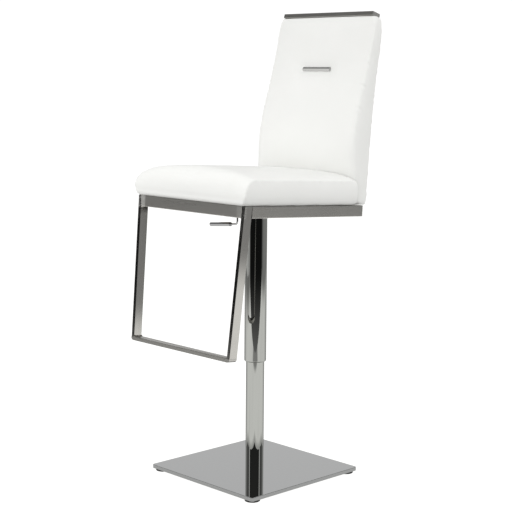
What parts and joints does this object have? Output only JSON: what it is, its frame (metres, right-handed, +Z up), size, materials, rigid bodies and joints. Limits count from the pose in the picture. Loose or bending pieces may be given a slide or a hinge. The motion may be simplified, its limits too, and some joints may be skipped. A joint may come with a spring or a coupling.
{
  "type": "adjustable swivel stool",
  "caption": "Bar stool with an upholstered seat and high back on a telescopic gas-lift column, a square base plate, a footrest loop and a height lever under the seat.",
  "frame": {"origin": "on the column axis, at floor level under the base plate's pads", "axes": "+Z up along the column, -Y to the front of the stool where the footrest is, +X to the left of a person who sits on it"},
  "size_m": [0.428, 0.5722, 1.2554],
  "materials": {
    "plate_chrome": "polished, mirror like, with faint wipe marks",
    "column_chrome": "bright plated tube, mirror like",
    "ring_chrome": "bright plated ring",
    "bar_nickel": "satin nickel plated flat bar, ground at the welds",
    "strip_chrome": "bright ridged strip",
    "lever_chrome": "plated bent rod and turned grip",
    "pad_rubber": "dark rubber",
    "upholstery": "white coated fabric with a fine leather grain, over foam",
    "board_wood": "plain plywood, hidden under the seat",
    "black_steel": "black painted pressed steel",
    "bright_steel": "plain machined steel",
    "guide_plastic": "dark moulded guide plastic"
  },
  "bodies": {
    "base": {"base_plate": "plate_chrome", "base_feet": "pad_rubber", "base_screws": "bright_steel", "column_foot": "bright_steel", "column_tube": "column_chrome", "guide_bush": "guide_plastic", "bearing_lower_race": "bright_steel"},
    "rod": {"bearing_upper_race": "bright_steel", "bearing_balls": "bright_steel", "bearing_cage": "guide_plastic", "piston_rod": "bright_steel", "rod_clip": "bright_steel", "stop_bumper": "pad_rubber", "piston": "bright_steel"},
    "seat": {"gas_cylinder": "black_steel", "cylinder_seal": "guide_plastic", "taper_hub": "black_steel", "sleeve_collar": "ring_chrome", "column_sleeve": "column_chrome", "sleeve_ring": "guide_plastic", "mechanism_channel": "black_steel", "top_plate": "black_steel", "plate_bolts": "bright_steel", "pivot_bracket": "black_steel", "lever_pin": "bright_steel", "left_leg": "bar_nickel", "right_leg": "bar_nickel", "foot_bar": "bar_nickel", "left_rail": "bar_nickel", "right_rail": "bar_nickel", "front_rail": "bar_nickel", "rear_rail": "bar_nickel", "corner_tabs": "black_steel", "tab_screws": "bright_steel", "seat_board": "board_wood", "seat_cushion": "upholstery", "left_upright": "black_steel", "right_upright": "black_steel", "back_cross_rail": "black_steel", "back_cushion": "upholstery", "back_strip": "strip_chrome", "top_bar": "bar_nickel"},
    "lever": {"lever_rocker": "bright_steel", "lever_rod": "lever_chrome", "lever_grip": "lever_chrome", "grip_collar": "lever_chrome"},
    "valve": {"valve_pin": "bright_steel"}
  },
  "joints": [
    {"name": "seat_swivel", "type": "hinge", "parent": "base", "child": "rod", "pos_m": [0, 0, 0.0465], "axis": [0, 0, 1], "continuous": true},
    {"name": "seat_lift", "type": "slide", "parent": "rod", "child": "seat", "axis": [0, 0, 1], "range_m": [-0.25, 0]},
    {"name": "lever_lift", "type": "hinge", "parent": "seat", "child": "lever", "pos_m": [-0.022, 0, 0.7373], "axis": [0, 1, 0], "range_deg": [0, 7], "stiffness_Nm_per_rad": 6, "springref_deg": -5.73},
    {"name": "valve_press", "type": "slide", "parent": "seat", "child": "valve", "axis": [0, 0, -1], "range_m": [0, 0.003]}
  ],
  "couplings": [
    {"joint": "valve_press", "follows": "lever_lift", "m_per_rad": 0.022}
  ]
}
